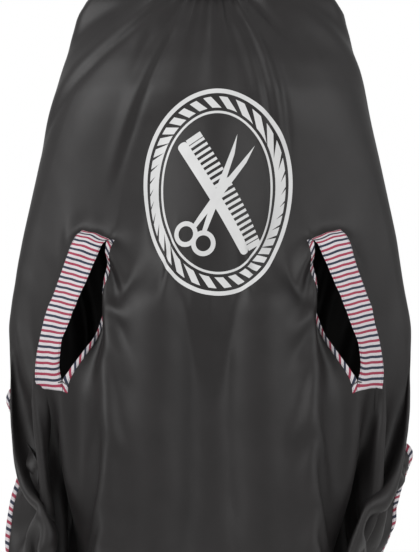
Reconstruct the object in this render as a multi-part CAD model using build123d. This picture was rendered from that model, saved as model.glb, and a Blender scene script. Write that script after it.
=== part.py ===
"""Barber cape, as worn: a light sheet hung from a snap-closed neckband, with two faced arm slits.

Frame, in millimetres: the origin is the centre of the neck opening, +Z is up and the wearer
faces -Y, so the wearer's left side is +X.  The neckband's axis leans forward by BAND_TILT.
The sheet is a closed bell with its opening down the back.  One smooth surface describes its
outside, and every sewn layer is the space between two offsets of that surface.
"""

import math
import os

from build123d import *

# Neckband: a round band of three layers, closed by a snapped tab at the nape.
NECK_RADIUS = 62.0
BAND_HEIGHT = 36.0
BAND_TILT = 18.0
LINING_T = 0.8
INTERLINING_T = 1.0
OUTER_T = 0.8
BAND_END_GAP = 3.0

# Snaps: sockets on the tab, studs on the band, one snap pitch apart.
SNAP_PITCH = 24.0
STUD_COUNT = 4
SOCKET_COUNT = 2
SNAP_R = 5.5
STUD_R = 2.0
STUD_HEIGHT = 1.5
STUD_BASE_T = 0.7
SOCKET_BORE_R = 2.7
SOCKET_T = 1.7
SOCKET_ROOF_T = 0.3
CAP_R = 6.2
CAP_T = 1.3
SHANK_R = 1.2
SHANK_CLEARANCE = 0.1
POST_HEAD_T = 0.5
SNAP_CLEARANCE = 0.25

# Closure tab: two layers sewn flat to the band at their root, then lifted over its far end.
TAB_HEIGHT = 30.0
TAB_T = 0.8
TAB_GAP = 3.2
TAB_ROOT_LENGTH = 12.0
TAB_ROOT_FROM_NAPE = 20.0
TAB_RISE_LENGTH = 22.0
TAB_FIRST_SNAP = 36.0
TAB_END_MARGIN = 13.0
TAB_HINGE_GAP = 0.6
TAB_TIP_R = 8.0

# Drape: distance from the vertical axis and height, front, side and back, neck to below the hem.
FRONT = [(-57.5, -36), (-72, -52), (-98, -92), (-124, -150), (-145, -240), (-155, -330),
         (-162, -450), (-172, -640), (-184, -820), (-194, -1000), (-200, -1160)]
SIDE = [(65.6, -15.5), (125, -21), (200, -40), (232, -95), (262, -180), (297, -300),
        (331, -450), (360, -640), (362, -820), (357, -1000), (350, -1160)]
BACK = [(67.3, 5), (88, -12), (115, -60), (140, -140), (155, -240), (165, -330),
        (174, -450), (186, -640), (194, -820), (199, -1000), (204, -1160)]
AROUND_POINTS = 48
DOWN_POINTS = 24

# Sewn layers, as offsets from the sheet's outside surface.
SHEET_T = 1.2
AIR = 0.1
TAPE_T = 0.9
FACING_T = 0.9
PRINT_T = 0.35
THREAD_T = 0.7

# Hem, seen from the side: level across the front, down to the corners, then up to the nape side.
HEM_FRONT_Z = -1000.0
HEM_CORNER = (-95.0, -1095.0)
HEM_SIDE_Z = {"left": -815.0, "right": -700.0}
HEM_BACK_Z = -632.0
TAPE_WIDTH = 10.0
TAPE_WRAP = 3.0

# Opening down the back: its half width at the nape and at the hem.
BACK_GAP_TOP = 3.0
BACK_GAP_HEM = 30.0

# Arm slit, seen from the front, for +X; the other slit is its mirror image.
SLIT_TOP = (174.0, -452.0)
SLIT_BOTTOM = (262.0, -680.0)
SLIT_OUTER_MID = (224.0, -560.0)
SLIT_INNER_MID = (189.0, -592.0)
SLIT_TAPE = 8.0
SLIT_TAPE_WRAP = 2.5
FACING_TOP = (222.0, -422.0)
FACING_MID = (279.0, -545.0)
FACING_BOTTOM = (305.0, -668.0)
PANEL_LINE_NECK = (44.0, 40.0)
PANEL_LINE_HEM = (262.0, -1300.0)
BARTACK = (14.0, 2.4)

# Where the sheet's solids are divided: the front by height, the sides below the shoulders and
# from side to back.
FRONT_LINES_Z = [-452.0, -592.0, -680.0]
SHOULDER_Z = -170.0
SIDE_LINE_Y = 20.0

# Chest print: an upright oval badge with a striped rim, round a comb crossed with scissors.
PRINT_CENTRE = (12.0, -350.0)
BADGE_SIZE = (272.0, 340.0)
BADGE_LINES = (0.0, 7.0, 12.0, 30.0, 35.0, 39.0)
BADGE_STRIPES = 36
COMB_LENGTH = 214.0
COMB_SPINE = 18.0
COMB_TOOTH = 32.0
COMB_TEETH = 20
COMB_ANGLE = 122.0
SCISSOR_ANGLE = 62.0
BLADE_LENGTH = 112.0
BLADE_WIDTH = 15.0
SHANK_LENGTH = 66.0
SCISSOR_SPREAD = 9.0
RING_OUTER = 21.0
RING_INNER = 13.0

FAR = 500.0
SIDES = {"left": 1, "right": -1}

# Radii of the neckband's layers.
INTERLINING_R = NECK_RADIUS + LINING_T
OUTER_R = INTERLINING_R + INTERLINING_T
BAND_R = OUTER_R + OUTER_T
TAB_R = BAND_R + TAB_GAP


# ---------------------------------------------------------------- the draped surface


def along(profile, t):
    """The point at share t of a profile, on a smooth curve through its stations."""
    last = len(profile) - 1
    i = min(int(t * last), last - 1)
    f = t * last - i
    p0, p1, p2, p3 = (profile[min(max(k, 0), last)] for k in (i - 1, i, i + 1, i + 2))
    return tuple(
        0.5 * (2 * b + (c - a) * f + (2 * a - 5 * b + 4 * c - d) * f**2
               + (3 * b - a - 3 * c + d) * f**3)
        for a, b, c, d in zip(p0, p1, p2, p3)
    )


def drape_point(psi, t):
    """The sheet's outside at azimuth psi from the front, and share t from neck to hem."""
    front_y, front_z = along(FRONT, t)
    side_x, side_z = along(SIDE, t)
    back_y, back_z = along(BACK, t)
    c, s = math.cos(psi), math.sin(psi)
    y = (front_y + back_y) / 2 - (back_y - front_y) / 2 * c
    z = side_z + (front_z - back_z) / 2 * c + ((front_z + back_z) / 2 - side_z) * c * c
    return Vector(side_x * s, y, z)


def drape_normal(psi, t, step=1e-3):
    """The outward normal of the sheet there."""
    around = drape_point(psi + step, t) - drape_point(psi - step, t)
    down = drape_point(psi, min(1, t + step)) - drape_point(psi, max(0, t - step))
    return down.cross(around).normalized()


def drape_face(offset):
    """The whole surface, from one back edge round the front to the other, moved outward."""
    seam = 0.004
    rows = []
    for j in range(DOWN_POINTS + 1):
        t = j / DOWN_POINTS
        row = []
        for i in range(AROUND_POINTS + 1):
            psi = (math.pi - seam) * (2 * i / AROUND_POINTS - 1)
            row.append(drape_point(psi, t) + drape_normal(psi, t) * offset)
        rows.append(row)
    return Face.make_surface_from_array_of_points(rows, tol=0.01, min_deg=3, max_deg=3)


def layer(inner, outer):
    """The closed solid between two offsets of the draped surface."""
    low, high = drape_face(inner), drape_face(outer)
    rims = []
    for edge in low.edges():
        mate = min(high.edges(), key=lambda e: (e.center() - edge.center()).length)
        rims.append(Face.make_surface_from_curves(edge, mate))
    return Solid(Shell([low, high, *rims]))


# ---------------------------------------------------------------- outlines that cut it


def side_prism(points, side, grow=0.0):
    """A polygon in (y, z), pushed out to one side of the cape."""
    face = make_face(Polyline(*[(0, y, z) for y, z in points], close=True))
    if grow:
        face = offset(face, amount=grow, kind=Kind.INTERSECTION)
    return extrude(face, amount=FAR, dir=(SIDES[side], 0, 0))


def below_hem(side, grow=0.0):
    """Everything under the hem on one side, grown upward by that much."""
    corner_y, corner_z = HEM_CORNER
    points = [
        (-FAR, HEM_FRONT_Z), (corner_y - 65, HEM_FRONT_Z - 2), (corner_y, corner_z),
        (-8, HEM_SIDE_Z[side]), (105, HEM_BACK_Z - 36), (FAR, HEM_BACK_Z + 30),
        (FAR, -3 * FAR), (-FAR, -3 * FAR),
    ]
    return side_prism(points, side, grow)


def back_opening(grow=0.0):
    """The wedge down the centre back, grown sideways by that much."""
    high, low = 60.0, 3 * HEM_BACK_Z
    slope = (BACK_GAP_HEM - BACK_GAP_TOP) / (high - HEM_BACK_Z)
    wide = BACK_GAP_TOP + slope * (high - low)
    points = [(-BACK_GAP_TOP, 0, high), (BACK_GAP_TOP, 0, high), (wide, 0, low), (-wide, 0, low)]
    face = make_face(Polyline(*points, close=True))
    if grow:
        face = offset(face, amount=grow, kind=Kind.INTERSECTION)
    return extrude(face, amount=FAR, dir=(0, 1, 0))


def front_prism(outline, side, grow=0.0):
    """Edges drawn for +X in (x, z), mirrored if need be, pushed forward."""
    face = make_face(outline)
    if grow:
        face = offset(face, amount=grow, kind=Kind.INTERSECTION)
    if side == "right":
        face = mirror(face, about=Plane.YZ)
    return extrude(face, amount=FAR, dir=(0, -1, 0))


def at(point):
    """A point drawn in (x, z) as one in the frame."""
    return (point[0], 0, point[1])


def slit(side, grow=0.0):
    """The arm slit held open, a lens between two arcs."""
    outer = ThreePointArc(at(SLIT_TOP), at(SLIT_OUTER_MID), at(SLIT_BOTTOM))
    inner = ThreePointArc(at(SLIT_BOTTOM), at(SLIT_INNER_MID), at(SLIT_TOP))
    return front_prism([outer, inner], side, grow)


def inboard_of_slit(side):
    """The space on the slit's inner side, which the slit's own tape keeps to."""
    reach = 60.0
    chord = [SLIT_TOP, SLIT_OUTER_MID, SLIT_BOTTOM]
    edge = Polyline(
        at(chord[0]), at(chord[1]), at(chord[2]),
        at((chord[2][0] - reach, chord[2][1] - 1)), at((chord[0][0] - reach, chord[0][1] + 1)),
        close=True,
    )
    return front_prism(edge, side)


def facing_strip(side):
    """The outline of the striped facing along the slit's outer edge."""
    outline = [
        ThreePointArc(at(SLIT_TOP), at(SLIT_OUTER_MID), at(SLIT_BOTTOM)),
        Line(at(SLIT_BOTTOM), at(FACING_BOTTOM)),
        ThreePointArc(at(FACING_BOTTOM), at(FACING_MID), at(FACING_TOP)),
        Line(at(FACING_TOP), at(SLIT_TOP)),
    ]
    return front_prism(outline, side)


def front_panel_prism():
    """The space in front, between the lines that run from the neck through the slits."""
    right = [PANEL_LINE_NECK, SLIT_TOP, SLIT_BOTTOM, PANEL_LINE_HEM]
    points = right + [(-x, z) for x, z in reversed(right)]
    face = make_face(Polyline(*[at(p) for p in points], close=True))
    return extrude(face, amount=FAR, dir=(0, -1, 0))


# ---------------------------------------------------------------- the sheet and its edges


def neckband_room(air):
    """The space that the neckband fills, with that much air round it."""
    return band_frame() * Cylinder(BAND_R + air, BAND_HEIGHT + 2 * air)


def trimmed(solid, hem_grow, gap_grow, slit_grow):
    """A layer cut to the hem, the back opening and both slits."""
    for side in SIDES:
        solid = solid - below_hem(side, hem_grow) - slit(side, slit_grow)
    return solid - back_opening(gap_grow)


def sheet_panels():
    """The sheet, in solids that meet edge to edge: four in front, three on each side."""
    sheet = trimmed(layer(-SHEET_T, 0), TAPE_WRAP, TAPE_WRAP, SLIT_TAPE_WRAP / 2) - neckband_room(AIR)
    front = front_panel_prism()
    rest = sheet - front
    high = Pos(0, 0, SHOULDER_Z + 2 * FAR) * Box(4 * FAR, 4 * FAR, 4 * FAR)
    behind = Pos(0, SIDE_LINE_Y + 2 * FAR, 0) * Box(4 * FAR, 4 * FAR, 8 * FAR)
    centre = sheet & front
    levels = [FAR, *FRONT_LINES_Z, -FAR * 8]
    found = {}
    for name, top, bottom in zip(("chest", "waist", "lap", "legs"), levels, levels[1:]):
        slab = Pos(0, 0, (top + bottom) / 2) * Box(4 * FAR, 4 * FAR, top - bottom)
        found[f"cape_front_{name}"] = centre & slab
    for side, sign in SIDES.items():
        half = rest & (Pos(sign * FAR, 0, 0) * Box(2 * FAR, 4 * FAR, 8 * FAR))
        low = half - high
        found[f"cape_{side}_shoulder"] = half & high
        found[f"cape_{side}_side"] = low - behind
        found[f"cape_{side}_back"] = low & behind
    return found


def tapes():
    """The binding folded over every free edge, in five mitred lengths, and the slits' tapes."""
    body = layer(-SHEET_T - AIR - TAPE_T, AIR + TAPE_T) - neckband_room(TAPE_WRAP)
    wrap = TAPE_WRAP - AIR
    filling = trimmed(layer(-SHEET_T - AIR, AIR), wrap, wrap, SLIT_TAPE_WRAP / 2)
    hem = {
        side: (body & below_hem(side, TAPE_WIDTH)) - below_hem(side) - back_opening() - filling
        for side in SIDES
    }
    in_front = Pos(0, HEM_CORNER[0] - 2 * FAR, 0) * Box(4 * FAR, 4 * FAR, 8 * FAR)
    found = {"hem_binding_front": (hem["left"] & in_front) + (hem["right"] & in_front)}
    back = (body & back_opening(TAPE_WIDTH)) - back_opening() - filling
    for side, sign in SIDES.items():
        found[f"hem_binding_{side}"] = hem[side] - in_front
        half = Pos(sign * FAR, 0, 0) * Box(2 * FAR, 4 * FAR, 8 * FAR)
        found[f"back_binding_{side}"] = (back & half) - below_hem(side, TAPE_WIDTH + AIR)
        ring = (body & slit(side, SLIT_TAPE)) - slit(side) - filling
        found[f"slit_tape_{side}"] = ring & inboard_of_slit(side)
    return found


def facings():
    """The striped strip beside each slit, and the thread bars across the slit's two ends."""
    strip = layer(AIR, AIR + FACING_T)
    thread = layer(2 * AIR + FACING_T, 2 * AIR + FACING_T + THREAD_T)
    lean = math.degrees(math.atan2(SLIT_BOTTOM[0] - SLIT_TOP[0], SLIT_TOP[1] - SLIT_BOTTOM[1]))
    found = {}
    for side, sign in SIDES.items():
        found[f"arm_facing_{side}"] = strip & facing_strip(side)
        bars = []
        for x, z, inset in ((*SLIT_TOP, -4), (*SLIT_BOTTOM, 4)):
            bar = Rot(0, sign * -lean, 0) * Box(BARTACK[0], 2 * FAR, BARTACK[1])
            reach = Pos(sign * (x + BARTACK[0] / 2), -FAR, z + inset) * bar
            bars += (thread & reach).solids()
        found[f"bartacks_{side}"] = Compound(bars)
    return found


# ---------------------------------------------------------------- the chest print


def upright(sketch, angle, x, z):
    """A flat sketch turned by angle and stood up in the front plane at (x, z)."""
    return Pos(x, 0, z) * Plane.XZ.location * Rot(0, 0, angle) * sketch


def comb():
    """A comb lying along X: a spine with square teeth under it and a broad tooth at each end."""
    half = COMB_LENGTH / 2
    end_tooth = 10.0
    pitch = (COMB_LENGTH - 2 * end_tooth) / COMB_TEETH
    root = 4.0
    shape = Pos(0, COMB_SPINE / 2) * RectangleRounded(COMB_LENGTH, COMB_SPINE, 7)
    for end in (-1, 1):
        shape += Pos(end * (half - 6), root - COMB_TOOTH / 2) * Rectangle(end_tooth, COMB_TOOTH)
    for i in range(COMB_TEETH):
        x = (i + 0.5) * pitch + end_tooth - half
        shape += Pos(x, root - COMB_TOOTH / 2) * Rectangle(pitch / 2, COMB_TOOTH)
    return shape


def scissor_half(sign):
    """One blade, shank and finger ring, crossing at the origin and pointing along +X."""
    half = BLADE_WIDTH / 2
    blade = make_face(Polyline(
        (-SHANK_LENGTH, -3.5), (0, -half), (BLADE_LENGTH * 0.7, -half * 0.8),
        (BLADE_LENGTH, 0), (0, half * 0.6), (-SHANK_LENGTH, 3.5), close=True,
    ))
    ring = Pos(-SHANK_LENGTH - RING_INNER, 0) * (Circle(RING_OUTER) - Circle(RING_INNER))
    return Rot(0, 0, sign * SCISSOR_SPREAD) * (blade + Pos(0, -sign * 5) * ring)


def badge_oval(inset):
    """The badge's outline, drawn in by that much."""
    width, height = BADGE_SIZE
    return Ellipse(width / 2 - inset, height / 2 - inset)


def badge_rim():
    """An outer line, a band of slanted stripes and a fine inner line."""
    outer, outer_in, band, band_in, fine, fine_in = (badge_oval(i) for i in BADGE_LINES)
    stripes = Sketch()
    for i in range(BADGE_STRIPES):
        angle = 360 * i / BADGE_STRIPES
        stripe = Pos(BADGE_SIZE[1] / 2, 0) * Rot(0, 0, 35) * Rectangle(8 * BADGE_LINES[3], 11)
        stripes += Rot(0, 0, angle) * stripe
    return (outer - outer_in) + ((band - band_in) & stripes) + (fine - fine_in)


def chest_print():
    """The print, an ink layer on the sheet in many patches, its rim in four quarters."""
    ink = layer(AIR, AIR + PRINT_T)
    x, z = PRINT_CENTRE
    width, height = BADGE_SIZE
    scissors = scissor_half(1) + scissor_half(-1)
    rim = badge_rim()
    shapes = [
        upright(rim & (Pos(i * width / 2, j * height / 2) * Rectangle(width, height)), 0, x, z)
        for i in (-1, 1)
        for j in (-1, 1)
    ]
    shapes += [
        upright(scissors, SCISSOR_ANGLE, x - 4, z - 8),
        upright(comb(), COMB_ANGLE, x + 2, z - 4),
    ]
    patches = []
    for shape in shapes:
        patches += (ink & extrude(shape, amount=FAR, dir=(0, -1, 0))).solids()
    return Compound(patches)


# ---------------------------------------------------------------- neckband and closure


def band_frame():
    """The neckband's own frame, with Z along the neck."""
    return Rot(BAND_TILT, 0, 0)


def ring_segment(radius, thick, height, start, end):
    """Part of an upright tube between two angles from the front, towards the wearer's left."""
    span = end - start
    section = Pos(radius + thick / 2, 0) * Rectangle(thick, height)
    solid = revolve(Plane.XZ.location * section, axis=Axis.Z, revolution_arc=span)
    return Rot(0, 0, start - 90) * solid


def on_band(angle, radius):
    """A place on the band with its Z pointing straight out, at an angle from the front."""
    return Rot(0, 0, angle - 90) * Pos(radius, 0, 0) * Rot(0, 90, 0)


def arc_angle(length, radius=BAND_R):
    """The angle that a length of the band covers."""
    return math.degrees(length / radius)


def disc(radius, thick, angle, start):
    """A round plate facing straight out of the band, from radius start."""
    return on_band(angle, start) * Pos(0, 0, thick / 2) * Cylinder(radius, thick)


def closure_angles():
    """Where the tab's hinge line, its snaps and the band's studs lie, in degrees."""
    hinge = 180 - arc_angle(TAB_ROOT_FROM_NAPE)
    first = hinge + arc_angle(TAB_FIRST_SNAP)
    pitch = arc_angle(SNAP_PITCH)
    return hinge, [first + i * pitch for i in range(STUD_COUNT)]


def neckband():
    """Lining, interlining and outer band, open at the nape, with the snaps' posts inside."""
    gap = arc_angle(BAND_END_GAP) / 2
    start, end = -180 + gap, 180 - gap
    _, studs = closure_angles()
    skin = 0.02
    lining = ring_segment(NECK_RADIUS, LINING_T, BAND_HEIGHT, start, end)
    stiff = ring_segment(
        INTERLINING_R + skin, INTERLINING_T - 2 * skin, BAND_HEIGHT - 4, start, end
    )
    outer = ring_segment(OUTER_R, OUTER_T, BAND_HEIGHT, start, end)
    inside = INTERLINING_R + SNAP_CLEARANCE
    outside = BAND_R + SNAP_CLEARANCE
    found = {}
    for i, angle in enumerate(studs):
        head = disc(SNAP_R, POST_HEAD_T, angle, inside)
        shank = disc(SHANK_R, outside + STUD_BASE_T / 2 - inside, angle, inside)
        room = disc(SNAP_R + SHANK_CLEARANCE, INTERLINING_T + LINING_T, angle, INTERLINING_R)
        hole = disc(SHANK_R + SHANK_CLEARANCE, outside + STUD_BASE_T - OUTER_R, angle, OUTER_R - AIR)
        stiff = stiff - room
        outer = outer - hole
        found[f"snap_post_{i + 1}"] = head + shank
        base = disc(SNAP_R, STUD_BASE_T, angle, outside)
        ball = disc(STUD_R, STUD_BASE_T + STUD_HEIGHT, angle, outside)
        tip = ball.edges().sort_by(lambda e: -e.center().length)[0]
        found[f"snap_stud_{i + 1}"] = base + fillet(tip, 0.6) - hole
    found.update(neckband_lining=lining, neckband_interlining=stiff, neckband_outer=outer)
    return found


def tab_radius(angle):
    """The inside of the tab: on the band up to the hinge line, then rising clear of the studs."""
    hinge, _ = closure_angles()
    share = min(max((angle - hinge) / arc_angle(TAB_RISE_LENGTH), 0), 1)
    low = BAND_R + AIR
    return low + (TAB_R - low) * share * share * (3 - 2 * share)


def tab_ply(start, end, depth):
    """One layer of the tab between two angles, lying depth above the tab's inside."""
    steps = 16
    angles = [math.radians(start + (end - start) * i / steps) for i in range(steps + 1)]
    walls = []
    for rise in (depth, depth + TAB_T):
        radii = [tab_radius(math.degrees(a)) + rise for a in angles]
        walls.append([(r * math.sin(a), -r * math.cos(a)) for r, a in zip(radii, angles)])
    inside, outside = walls
    section = make_face([
        Spline(*inside), Line(inside[-1], outside[-1]),
        Spline(*outside), Line(inside[0], outside[0]),
    ])
    return extrude(section, amount=TAB_HEIGHT / 2, both=True)


def closure_tab():
    """The tab's two layers with their caps and sockets, from the hinge line to its round tip."""
    hinge, studs = closure_angles()
    snaps = studs[:SOCKET_COUNT]
    start = hinge + arc_angle(TAB_HINGE_GAP) / 2
    end = snaps[-1] + arc_angle(TAB_END_MARGIN)
    length = 2 * TAB_R * math.sin(math.radians(end - start) / 2)
    outline = RectangleRounded(TAB_HEIGHT, length + 2 * TAB_TIP_R, TAB_TIP_R)
    window = on_band((start + end) / 2, 0) * Pos(0, -TAB_TIP_R, 0) * extrude(outline, amount=FAR)
    inner = tab_ply(start, end, 0) & window
    outer = tab_ply(start, end, TAB_T) & window
    top = TAB_R + 2 * TAB_T + SNAP_CLEARANCE / 5
    roof = TAB_R - SNAP_CLEARANCE
    found = {}
    for i, angle in enumerate(snaps):
        hole = disc(SHANK_R + SHANK_CLEARANCE, top - roof, angle, roof)
        inner, outer = inner - hole, outer - hole
        cap = disc(CAP_R, CAP_T, angle, top)
        rim = cap.edges().sort_by(lambda e: -e.center().length)[0]
        shank = disc(SHANK_R, top - roof, angle, roof)
        found[f"snap_cap_{i + 1}"] = fillet(rim, 0.7) + shank
        ring = disc(SNAP_R, SOCKET_T, angle, roof - SOCKET_T)
        bore = disc(SOCKET_BORE_R, SOCKET_T, angle, roof - SOCKET_T - SOCKET_ROOF_T)
        found[f"snap_socket_{i + 1}"] = ring - bore
    root_start = hinge - arc_angle(TAB_ROOT_LENGTH)
    root_end = hinge - arc_angle(TAB_HINGE_GAP) / 2
    found["closure_tab_root"] = tab_ply(root_start, root_end, 0) + tab_ply(root_start, root_end, TAB_T)
    found.update(closure_tab_lining=inner, closure_tab_outer=outer)
    return found


def main():
    parts = {}
    parts.update(sheet_panels())
    parts.update(tapes())
    parts.update(facings())
    parts["chest_print"] = chest_print()
    for node, solid in {**neckband(), **closure_tab()}.items():
        parts[node] = band_frame() * solid
    os.makedirs("parts", exist_ok=True)
    for node, solid in parts.items():
        export_step(solid, f"parts/{node}.step")


main()
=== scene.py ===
"""Looks of the barber cape: the sheet is draped by simulation over a hidden form, then trimmed.

Everything is in metres, in the CAD frame: the origin is the centre of the neck opening, +Z is up
and the wearer faces -Y.  The sheet is described on its flat pattern by an angle phi from the
centre front and a distance r from the centre of the neck cut-out.
"""

import math

import bpy
import numpy as np
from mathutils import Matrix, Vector


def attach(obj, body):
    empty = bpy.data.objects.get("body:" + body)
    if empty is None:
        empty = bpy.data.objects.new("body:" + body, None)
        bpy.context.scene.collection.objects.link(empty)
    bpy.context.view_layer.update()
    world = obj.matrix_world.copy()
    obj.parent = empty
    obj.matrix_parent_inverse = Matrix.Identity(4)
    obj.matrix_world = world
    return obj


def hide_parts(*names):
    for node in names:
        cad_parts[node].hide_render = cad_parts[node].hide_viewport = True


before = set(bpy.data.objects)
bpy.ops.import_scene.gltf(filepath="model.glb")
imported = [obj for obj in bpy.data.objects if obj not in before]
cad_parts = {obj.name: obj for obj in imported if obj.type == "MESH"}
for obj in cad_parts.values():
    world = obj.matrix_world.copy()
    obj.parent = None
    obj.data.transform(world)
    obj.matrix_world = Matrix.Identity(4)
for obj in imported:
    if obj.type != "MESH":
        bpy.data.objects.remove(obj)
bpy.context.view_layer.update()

# ---------------- driving sizes

# Flat pattern: a rectangle with a round neck cut-out in the middle of its top edge.  The grid's
# rays are counted from the centre front to a slit, on to a front corner, and on to the top edge.
HALF_WIDTH = .7
LENGTH = 1.145
NECK_CUT = .16
CORNER = math.atan2(HALF_WIDTH, LENGTH)
SLIT_ANGLE = math.radians(18.0)
SLIT_ROWS = (42, 66)
ROWS = 96
COLUMNS = (32, 24, 104)

# Where the slits' ends hang, and the drape's half width and depth down a slit's outer and inner
# edge, at shares of its length.
SLIT_Z = (-.452, -.68)
SLIT_OUTER_X = ([0, .36, .7, .88, 1], [.178, .21, .243, .254, .262])
SLIT_OUTER_Y = ([0, .4, .75, 1], [-.108, -.128, -.13, -.112])
SLIT_INNER_X = ([0, .25, .5, .7, .87, 1], [.178, .176, .18, .191, .222, .26])
SLIT_INNER_Y = ([0, .5, 1], [-.108, -.092, -.112])

# Neckband and closure tab, as in the CAD model; angles are in degrees from the front.  The tab's
# outside rises from the first radius to the second over the last value's angle.  The sheet goes
# round NECK_SHARE of the neck, and the rest is the opening down the back.
BAND_R = .0646
BAND_TILT = math.radians(18.0)
BAND_HALF = .018
NECK_SHARE = .988
BAND_STITCHED = (-176.5, 150)
STITCH_UP = .015
TAB_ANGLES = (162.5, 227.0)
TAB_HALF = .015
TAB_TIP = .008
TAB_RISE = (.0663, .0694, 19.5)

# Trims, on the sheet.  A pitch is one repeat of four stripes, along the trim; the facings and
# tapes run past the slits' ends by SLIT_OVERRUN, and their edges are rounded within TAPE_EDGE.
FACING_WIDTH = .055
SLIT_TAPE = .008
SLIT_OVERRUN = .012
TAPE_EDGE = .0012
TACK_STITCHES = 22
TACK_HALF = .007
STITCH_LIFT = .0013
STRIPE_PITCH = .0172
BIAS_PITCH = .0243
PRINT_CENTRE = (.012, .51)
BADGE = (.136, .17)
BADGE_LINES = (0.0, .007, .012, .03, .035, .039)
BADGE_STRIPES = 36
BADGE_LEAN = math.radians(35)
COMB_TEETH = 20

# The bell that the sheet starts from: distance from the axis and height, from neck to hem.
FRONT = [(-.0575, -.036), (-.072, -.052), (-.098, -.092), (-.124, -.15), (-.145, -.24),
         (-.155, -.33), (-.162, -.45), (-.172, -.64), (-.184, -.82), (-.194, -1.0), (-.2, -1.16)]
SIDE = [(.0656, -.0155), (.13, -.017), (.2, -.022), (.23, -.042), (.246, -.095), (.266, -.174),
        (.294, -.296), (.33, -.454), (.358, -.611), (.362, -.82), (.357, -1.0), (.35, -1.16)]
BACK = [(.0673, .005), (.088, -.012), (.115, -.06), (.14, -.14), (.155, -.24),
        (.165, -.33), (.174, -.45), (.186, -.64), (.194, -.82), (.199, -1.0), (.204, -1.16)]

# Folds laid into both sides of the bell before it is let go: angle and width in degrees, height
# (negative inwards), and the distances from the neckband where the fold starts and is full.
FOLDS = [
    (24.5, 5.0, -.085, .45, .75),
    (36.0, 4.0, .03, .45, .8),
    (46.0, 4.5, -.045, .4, .7),
    (57.0, 4.5, .035, .3, .6),
    (67.0, 4.5, -.045, .2, .5),
    (78.0, 4.5, .03, .2, .5),
]

# Studio: the view's distance, height at the cape and level, the floor, and the world's light.
VIEW_DISTANCE = 3.2
VIEW_HEIGHT = .966
VIEW_LEVEL = -.517
FLOOR_R = .95
FLOOR_Z = -1.16
WORLD_LIGHT = .6

# The hidden form: shoulders and arms that fill the bell, a little smaller, and get flatter on the
# way down, a trunk of stacked ovals, and tapered thighs given by their two ends and radii.
ARM_Z = [-1.1, -.9, -.75, -.6, -.42, -.28, -.2, -.15, -.09, -.05, -.02]
ARM_WIDTH = [.7, .85, .94, .985, .985, .985, .985, .985, .985, .98, .97]
ARM_DEPTH = [.22, .24, .28, .36, .52, .78, .93, .93, .93, .93, .9]
ARM_POWER = [2.0, 2.0, 2.0, 2.0, 2.0, 2.0, 1.9, 1.75, 1.5, 1.3, 1.15]
SHOULDER_TOP = -.028
TRUNK_Z = [-1.2, -.8, -.58, -.42, -.3, -.2, -.15, -.1, -.06]
TRUNK_X = [.165, .16, .155, .15, .155, .16, .15, .13, .09]
TRUNK_Y = [.1, .12, .152, .152, .142, .124, .108, .086, .062]
THIGHS = [
    ((side * .085, -.074, -.58), (side * .098, -.092, -1.2), .08, .084) for side in (-1, 1)
]

# The sheet is kept between these, which are about as far apart as the CAD model is wide.
SIDE_WALLS = (-.362, .364)

# The simulation: steps on the coarse and the fine grid, sweeps a step, gravity on each grid, the
# share of speed kept, the most that a point moves in a step, and how strongly the slits' edges
# and the led lines are held.
STEPS = (90, 26)
SWEEPS = 8
GRAVITY = (9.81, 3.0)
FRAME_RATE = 60
KEPT_SPEED = .97
TOP_MOVE = .02
SLIT_PULL = .15
LINE_PULL = .06

# The shoulders' squaring: how far it reaches above and below their top, lift and widening.
SQUARE_REACH = .045
SQUARE_LIFT = .013
SQUARE_WIDEN = .075

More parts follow.
